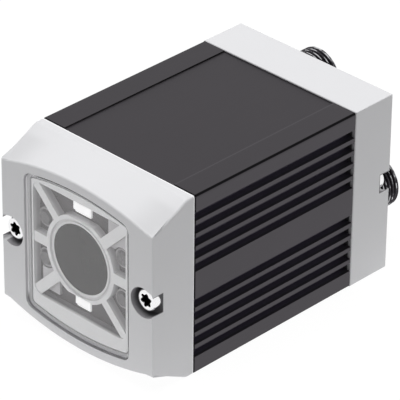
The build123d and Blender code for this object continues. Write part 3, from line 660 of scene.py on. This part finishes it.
edge_material = ground_edge("ground_acrylic_edge")
filter_coating = dark_filter("coated_grey_filter_glass", "#1D171C", "#1A1519")
print("window:", pane_plastic.name, edge_material.name, filter_coating.name)

# %% [markdown]
# ## Screws
#
# Four bright zinc-plated pan-head screws with six-lobe recesses hold the covers. A turned part
# is a profile spun about its axis, and the recess is the same profile with its radius waved six
# times around. One head is spun, and a small geometry tree sets a pair of them into a cover.

# %% Lathe
def lathe(name, profile, steps, ring=False):
    """Spins (y, radius, wave) points about the Y axis; wave swells the radius six times around."""
    work = bmesh.new()
    rows = []
    for y, radius, wave in profile:
        if radius == 0:
            rows.append([work.verts.new((0, y * mm, 0))] * steps)
            continue
        row = []
        for i in range(steps):
            angle = tau * i / steps
            r = radius * (1 + wave * cos(6 * angle)) * mm
            row.append(work.verts.new((r * cos(angle), y * mm, r * sin(angle))))
        rows.append(row)
    pairs = list(zip(rows, rows[1:] + rows[:1])) if ring else list(zip(rows, rows[1:]))
    for low, high in pairs:
        for i in range(steps):
            j = (i + 1) % steps
            loop = [low[i], low[j], high[j], high[i]]
            loop = [v for n, v in enumerate(loop) if v is not loop[n - 1]]
            if len(loop) > 2:
                work.faces.new(loop)
    return close_mesh(work, name)


def start_geometry(name, numbers):
    """An empty geometry tree that takes a mesh, some named numbers and a material."""
    tree = bpy.data.node_groups.new(name, "GeometryNodeTree")
    tree.interface.new_socket("Geometry", in_out="INPUT", socket_type="NodeSocketGeometry")
    for number in numbers:
        tree.interface.new_socket(number, in_out="INPUT", socket_type="NodeSocketFloat")
    tree.interface.new_socket("Material", in_out="INPUT", socket_type="NodeSocketMaterial")
    tree.interface.new_socket("Geometry", in_out="OUTPUT", socket_type="NodeSocketGeometry")
    return tree, add_node(tree, "NodeGroupInput").outputs


def finish_geometry(tree, instances, material):
    """Turns the instances into one mesh, gives it its material and hands it out."""
    real = add_node(tree, "GeometryNodeRealizeInstances", {"Geometry": instances})
    dressed = add_node(tree, "GeometryNodeSetMaterial", {"Geometry": real.outputs[0], "Material": material})
    add_node(tree, "NodeGroupOutput", {"Geometry": dressed.outputs[0]})


def grow(name, mesh, tree, values):
    """Runs a geometry tree on a mesh and keeps the result as a plain piece at the origin."""
    seed = add_object(name + "_seed", mesh)
    modifier = seed.modifiers.new("grow", "NODES")
    modifier.node_group = tree
    for item in tree.interface.items_tree:
        if item.in_out == "INPUT" and item.name in values:
            modifier[item.identifier] = values[item.name]
    grown = bpy.data.meshes.new_from_object(seed.evaluated_get(bpy.context.evaluated_depsgraph_get()))
    grown.name = name
    bpy.data.objects.remove(seed)
    piece = add_object(name, grown)
    finish_mesh(grown, 40)
    print(name + ":", len(grown.polygons), "faces")
    return piece

# %% Screw finish
def finish_metal(material, tree, place, tint, roughness):
    """Turned or plated metal: clean reflections, broken a little by machining marks."""
    marks = noise(tree, place, 0.3)
    rough = sheen(tree, marks, roughness, roughness + 0.08)
    finish_material(tree, Base_Color=tint, Metallic=1.0, Roughness=rough, Normal=relief(tree, marks, 0.003, 0.3))
    return material


def screw_finish(name, colour):
    """Bright zinc plate, with painted shade that makes the recess of the drive nearly black."""
    material, tree, place = start_material(name)
    x, y, z = millimetres(tree, place)
    reach, depth = from_screw(tree, x, y, z)
    # Painted shade: the recess of the drive is drawn nearly black.
    recess = product(tree, ramp(tree, reach, 1.85, 1.75), ramp(tree, depth, head_face + 0.1, head_face + 0.3))
    return finish_metal(material, tree, place, blend(tree, product(tree, recess, 0.97), colour, "#222225"), 0.14)


head_height, head_radius = 1.95, 2.55
head_face = pocket_depth - head_height
screw_steel = screw_finish("zinc_plated_screw_steel", "#F2F2F3")
print("screw heads:", 2 * head_radius, "mm across,", head_height, "mm high")

# %% Screw heads and their tree
def screw_mesh(name, shank_end, shank_radius):
    """One screw along Y with its seat at 0 and its head towards -Y."""
    dome = 0.5
    angles = [radians(v) for v in (0, 15, 30, 45, 60, 75, 90)]
    arc = [(dome * (1 - cos(a)) - head_height, head_radius - dome * (1 - sin(a)), 0) for a in angles]
    recess = [
        (-0.55, 0, 0), (-0.62, 0.6, 0.05), (-0.66, 1.18, 0.18), (-1.5, 1.3, 0.2), (-1.66, 1.34, 0.18),
        (-head_height, 1.43, 0.14), (-head_height, 1.75, 0.02),
    ]
    shank = [
        (0, head_radius, 0), (0, shank_radius, 0), (shank_end - 0.4, shank_radius, 0),
        (shank_end, shank_radius - 0.4, 0), (shank_end, 0, 0),
    ]
    return lathe(name, recess + arc + shank, 96)


screw_tree, given = start_geometry("screw_pair", ("Spacing", "Station", "Height", "Turn", "Clock"))
left_end = product(screw_tree, given["Spacing"], -0.5)
first = add_node(screw_tree, "ShaderNodeCombineXYZ", {0: left_end, 1: given["Station"], 2: given["Height"]})
step = add_node(screw_tree, "ShaderNodeCombineXYZ", {0: given["Spacing"]})
row = add_node(screw_tree, "GeometryNodeMeshLine", {
    "Count": 2, "Start Location": first.outputs[0], "Offset": step.outputs[0]}, mode="OFFSET")
number = add_node(screw_tree, "GeometryNodeInputIndex").outputs[0]
clock = product(screw_tree, given["Clock"], compute(screw_tree, "ADD", number, 1.0))
angles = add_node(screw_tree, "ShaderNodeCombineXYZ", {1: clock, 2: given["Turn"]})
pair = add_node(screw_tree, "GeometryNodeInstanceOnPoints", {
    "Points": row.outputs[0], "Instance": given["Geometry"], "Rotation": angles.outputs[0]})
finish_geometry(screw_tree, pair.outputs[0], given["Material"])

# %% Set both pairs
front_screw_end, rear_screw_end = 17.4, 16.9
front_shank, rear_shank = 1.5, 1.1
shared = {"Spacing": (2 * screw_side - 0.2) * mm, "Material": screw_steel}
front_pair = grow("front_screw_pair", screw_mesh("front_screw", front_screw_end, front_shank), screw_tree, {
    **shared, "Station": (front + pocket_depth) * mm, "Height": (middle + 0.25) * mm, "Turn": 0.0, "Clock": 0.35})
rear_pair = grow("rear_screw_pair", screw_mesh("rear_screw", rear_screw_end, rear_shank), screw_tree, {
    **shared, "Station": (rear - pocket_depth) * mm, "Height": (middle + rear_rise) * mm, "Turn": pi, "Clock": 0.5})

# %% [markdown]
# ## Connector threads
#
# The three plugs stand on metal shells with a fine outside thread of 1 mm pitch. The shell is
# spun as a tube, and a geometry tree pulls its outer wall in along a helix: the depth at a point
# follows its height along the axis less its angle around it, so neighbouring turns join up.

# %% Shell and its helix
shell_radius, thread_pitch, thread_depth = 6.2, 1.0, 0.6
thread_start, thread_end = rear + 1.5, tip - 0.5
tail = rear - 9.0


def shell_profile():
    """The shell's outline in (y, radius, wave) points: outside from the tail to the tip, then back down the bore."""
    outside = [
        (tail, 5.0, 0), (rear - 5.0, 5.0, 0), (rear - 5.0, 6.9, 0), (rear - 3.5, 6.9, 0),
        (rear - 3.5, 6.0, 0), (rear, 6.0, 0), (rear, 5.4, 0), (rear + 1.5, 5.4, 0),
    ]
    count = round((thread_end - thread_start) / thread_pitch * 10)
    threads = [(thread_start + (thread_end - thread_start) * i / count, shell_radius, 0) for i in range(count + 1)]
    inside = [(tip, 5.5, 0), (tip, 4.75, 0), (tip - 0.15, 4.6, 0), (tail, 4.6, 0)]
    return outside + threads + inside


# %% Tree of the helical thread
thread_sizes = ("Radius", "Pitch", "Depth", "Start", "End", "Side", "Rise", "Height")
thread_tree, given = start_geometry("helical_thread", thread_sizes)
spot = add_node(thread_tree, "GeometryNodeInputPosition").outputs[0]
px, py, pz = add_node(thread_tree, "ShaderNodeSeparateXYZ", {0: spot}).outputs
angle = compute(thread_tree, "DIVIDE", compute(thread_tree, "ARCTAN2", pz, px), tau)
phase = compute(thread_tree, "SUBTRACT", compute(thread_tree, "DIVIDE", py, given["Pitch"]), angle)
wave = compute(thread_tree, "COSINE", product(thread_tree, phase, tau))
wave = product(thread_tree, compute(thread_tree, "SUBTRACT", 1.0, wave), 0.5)
out = add_node(thread_tree, "ShaderNodeCombineXYZ", {0: px, 2: pz})
radius = add_node(thread_tree, "ShaderNodeVectorMath", {0: out.outputs[0]}, operation="LENGTH").outputs["Value"]
full_depth_at = compute(thread_tree, "ADD", given["Start"], given["Pitch"])
fading_from = compute(thread_tree, "SUBTRACT", given["End"], product(thread_tree, given["Pitch"], 0.4))
fade_in = add_node(thread_tree, "ShaderNodeMapRange", {
    "Value": py, "From Min": given["Start"], "From Max": full_depth_at})
fade_out = add_node(thread_tree, "ShaderNodeMapRange", {
    "Value": py, "From Min": given["End"], "From Max": fading_from})
faded = compute(thread_tree, "MINIMUM", fade_in.outputs[0], fade_out.outputs[0])
depth = product(thread_tree, wave, given["Depth"], faded)
outwards = add_node(thread_tree, "ShaderNodeVectorMath", {0: out.outputs[0]}, operation="NORMALIZE")
pull = add_node(thread_tree, "ShaderNodeVectorMath", {
    0: outwards.outputs[0], "Scale": product(thread_tree, depth, -1.0)}, operation="SCALE")
outer = compute(thread_tree, "GREATER_THAN", radius, compute(thread_tree, "SUBTRACT", given["Radius"], 0.01 * mm))
chosen = product(thread_tree, outer, compute(thread_tree, "GREATER_THAN", py, given["Start"]))
cut = add_node(thread_tree, "GeometryNodeSetPosition", {
    "Geometry": given["Geometry"], "Selection": chosen, "Offset": pull.outputs[0]})

# %% Three of the four corners of a grid carry a shell
grid = add_node(thread_tree, "GeometryNodeMeshGrid", {
    "Size X": given["Side"], "Size Y": given["Rise"], "Vertices X": 2, "Vertices Y": 2})
lifted = add_node(thread_tree, "ShaderNodeCombineXYZ", {2: given["Height"]})
stood = add_node(thread_tree, "GeometryNodeTransform", {
    "Geometry": grid.outputs[0], "Translation": lifted.outputs[0], "Rotation": (pi / 2, 0, 0)})
gx, gy, gz = add_node(thread_tree, "ShaderNodeSeparateXYZ", {0: spot}).outputs
right_half = compute(thread_tree, "GREATER_THAN", gx, 0.0)
spare = product(thread_tree, right_half, compute(thread_tree, "GREATER_THAN", gz, given["Height"]))
three = add_node(thread_tree, "GeometryNodeDeleteGeometry", {
    "Geometry": stood.outputs[0], "Selection": spare}, domain="POINT")
shells = add_node(thread_tree, "GeometryNodeInstanceOnPoints", {
    "Points": three.outputs[0], "Instance": cut.outputs[0]})
finish_geometry(thread_tree, shells.outputs[0], given["Material"])
print("thread tree:", len(thread_tree.nodes), "nodes")

# %% Thread finish with painted highlights
def thread_with_painted_highlights(name, colour):
    """Dark nickel plate, with painted highlights in short streaks along the crests of the thread."""
    material, tree, place = start_material(name)
    x, y, z = millimetres(tree, place)
    reach = distance(tree, from_pair(tree, x, connector_side), from_pair(tree, z, connector_rise, middle))
    # Painted highlights: bright streaks along the crests, where the flanks would mirror light.
    crest = ramp(tree, reach, shell_radius - 0.16, shell_radius - 0.02)
    crest = product(tree, crest, ramp(tree, y, rear + 1.6, rear + 2.0))
    streaks = ramp(tree, noise(tree, place, 1.6, 3.0, stretch=(1, 0.5, 1)), 0.48, 0.63)
    return finish_metal(material, tree, place, blend(tree, product(tree, crest, streaks), colour, "#D6D6D8"), 0.2)


connector_metal = thread_with_painted_highlights("dark_nickel_plated_brass", "#3B393D")
threaded = grow("threaded_connector_shells", lathe("connector_shell", shell_profile(), 72, ring=True), thread_tree, {
    "Radius": shell_radius * mm, "Pitch": thread_pitch * mm, "Depth": thread_depth * mm,
    "Start": (thread_start + 0.001) * mm, "End": thread_end * mm,
    "Side": 2 * connector_side * mm, "Rise": 2 * connector_rise * mm, "Height": middle * mm,
    "Material": connector_metal,
})

# %% [markdown]
# ## Other finishes
#
# The rest are seen through the pane, behind the rear face, or only when the part is opened:
# metals, boards, lamps and rubber. Each keeps the colour and grain of the real material, and the
# unlit lamps also get a faint painted glow.

# %% Metals of the inner parts
def plain_metal(name, colour, roughness):
    """Machined or plated metal of one colour."""
    material, tree, place = start_material(name)
    return finish_metal(material, tree, place, linear(colour), roughness)


bright_metal = plain_metal("machined_bright_aluminium", "#C9CACC", 0.3)
plain_steel = plain_metal("ground_bright_steel", "#D5D5D8", 0.18)
gold_metal = plain_metal("gold_plated_contacts", "#D9B25A", 0.2)
black_metal = plain_metal("black_anodised_lens_mount", "#1B1B1D", 0.45)

# %% Boards, lamps, rubber and the small inner parts
def plain_surface(name, colour, deeper_colour, grain, roughness, index=1.5, glow=0.0):
    """A dull surface with a faint mottle of its own grain size; an unlit lamp also gets a little painted glow."""
    material, tree, place = start_material(name)
    mottle = noise(tree, place, grain, 3.0)
    finish_material(
        tree, Base_Color=blend(tree, mottle, colour, deeper_colour), Roughness=roughness, IOR=index,
        Normal=relief(tree, mottle, 0.005, 0.4), Emission_Color=linear("#FFFFFF"), Emission_Strength=glow)
    return material


lamp_board = plain_surface("grey_lacquered_circuit_board", "#555054", "#4F4A4E", 0.8, 0.5)
# Painted light: the unlit lamps glow a little so that they look brighter.
lamp_white = plain_surface("white_silicone_lamp", "#FBFBFB", "#F5F5F6", 0.5, 0.5, glow=0.38)
gasket_rubber = plain_surface("black_sealing_rubber", "#2A292B", "#242325", 0.5, 0.7)
board_green = plain_surface("green_lacquered_circuit_board", "#1E5A3C", "#184C33", 1.0, 0.4)
chip_black = plain_surface("black_moulded_chip", "#232325", "#1B1B1D", 0.3, 0.55)
insert_black = plain_surface("black_moulded_contact_insert", "#26262A", "#202024", 0.4, 0.45)
lens_glass = clear_plastic("coated_lens_glass", "#F4F7FF", 1.6, 0.5)
sensor_glass = plain_surface("image_sensor_window", "#2C3A4A", "#263240", 1.0, 0.15)
guide_plastic = plain_surface("milky_light_guide", "#DADCDD", "#CFD2D4", 0.8, 0.3)

# %% [markdown]
# ## Round lamps and light carrier
#
# Each round lamp is a dark moulded lens in a pale rim. All four are one CAD node, so one finish
# draws both parts, by the distance from the lamp's own axis. The carrier is a white-grey moulding
# with painted shade that grows darker with its depth behind the pane.

# %% Round lamps
def rimmed_lamp(name, rim_colour, lens_colour):
    """A dark moulded lens in a pale rim; the distance from the lamp's own axis tells them apart."""
    material, tree, place = start_material(name)
    x, y, z = millimetres(tree, place)
    reach = distance(tree, from_pair(tree, x, lamp_x), from_pair(tree, z, lamp_z, light_axis))
    tint = blend(tree, ramp(tree, reach, 1.95, 1.75), rim_colour, lens_colour)
    tint = blend(tree, product(tree, noise(tree, place, 0.6), 0.15), tint, "#FFFFFF")
    finish_material(tree, Base_Color=tint, Roughness=0.4, IOR=1.5)
    return material


lamp_dome = rimmed_lamp("moulded_lamp_lens", "#9A969A", "#504C50")

# %% Light carrier
def carrier_finish(name, colour, deeper_colour):
    """White-grey moulding, with a painted shadow of the window's edge on its lower inner wall and painted shade that
    deepens with depth behind the pane.
    """
    material, tree, place = start_material(name)
    x, y, z = millimetres(tree, place)
    tint = blend(tree, noise(tree, place, 6, 3.0), colour, deeper_colour)
    # Painted shadow: the lower inner wall lies in the shadow of the window's edge.
    lower = ramp(tree, from_pair(tree, z, 0.0, light_axis - 13.8), 0.5, 0.3)
    depth = ramp(tree, y, front + 1.5, front + 2.6)
    tint = blend(tree, product(tree, lower, depth, 0.95), tint, "#4C4A4D")
    # Painted shade: the moulding darkens with its depth behind the pane.
    tint = blend(tree, product(tree, ramp(tree, y, front + 1.9, front + 3.0), 0.55), tint, "#A49FA4")
    grain = noise(tree, place, 0.25)
    finish_material(tree, Base_Color=tint, Roughness=0.5, Normal=relief(tree, grain, 0.006, 0.4), IOR=1.5)
    return material


carrier_plastic = carrier_finish("moulded_white_grey_polycarbonate", "#ECECED", "#E8E8EA")
print("behind the pane:", lamp_dome.name, carrier_plastic.name)

# %% [markdown]
# ## Dress the CAD nodes
#
# Every CAD node gets a finish, the hidden ones too, because the opened camera shows them. A table
# from node to finish is easier to read than one line of code for each.

# %% Give every CAD node its finish
finishes = {
    "front_cover": cover_plastic, "rear_cover": cover_plastic, "window_pane": pane_plastic,
    "light_carrier": carrier_plastic, "filter_glass": filter_coating, "illumination_board": lamp_board,
    "bar_lamps": lamp_white, "round_lamps": lamp_dome, "front_screws": screw_steel, "rear_screws": screw_steel,
    "front_gasket": gasket_rubber, "rear_gasket": gasket_rubber, "body_extrusion": body_metal,
    "optics_plate": bright_metal, "guide_pins": plain_steel, "lens_carriage": black_metal,
    "lens_barrel": black_metal, "front_lens": lens_glass, "rear_lens": lens_glass,
    "focus_spindle": plain_steel, "spindle_seal": gasket_rubber, "spindle_clip": plain_steel,
    "sensor_board": board_green, "image_sensor": sensor_glass, "processor_board": board_green,
    "processor_chip": chip_black, "memory_chips": chip_black, "io_board": board_green,
    "board_sockets": insert_black, "board_spacers": bright_metal, "stack_screws": plain_steel,
    "status_light_guide": guide_plastic, "status_lamps": lamp_white, "connector_seals": gasket_rubber,
}
for side in ("power", "network", "data"):
    finishes[f"{side}_connector_shell"] = connector_metal
    finishes[f"{side}_connector_insert"] = insert_black
    finishes[f"{side}_connector_contacts"] = gold_metal
for name, node in nodes.items():
    for slot in node.material_slots:
        slot.material = finishes[name]
print(len(nodes), "CAD nodes dressed in", len(set(finishes.values())), "finishes")

# %% [markdown]
# ## Hand the pieces over
#
# Each new piece takes the place of the CAD node it redraws, which is hidden, moves with the same
# body and keeps the same finish.

# %% Ride and replace
for name, piece in refined.items():
    piece.data.materials.append(finishes[name])
    if name == "window_pane":
        piece.data.materials.append(edge_material)
        for face in piece.data.polygons:
            face.material_index = int(abs(face.normal.y) < 0.5)
    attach(piece, "housing")
    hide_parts(name)
boss_mesh.materials.append(carrier_plastic)
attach(bosses, "housing")
for piece, slot, replaced in (
    (front_pair, "screw_steel", ["front_screws"]),
    (rear_pair, "screw_steel", ["rear_screws"]),
    (threaded, "connector_metal", ["power_connector_shell", "network_connector_shell", "data_connector_shell"]),
):
    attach(piece, "housing")
    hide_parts(*replaced)
print("pieces:", len(refined) + 4)
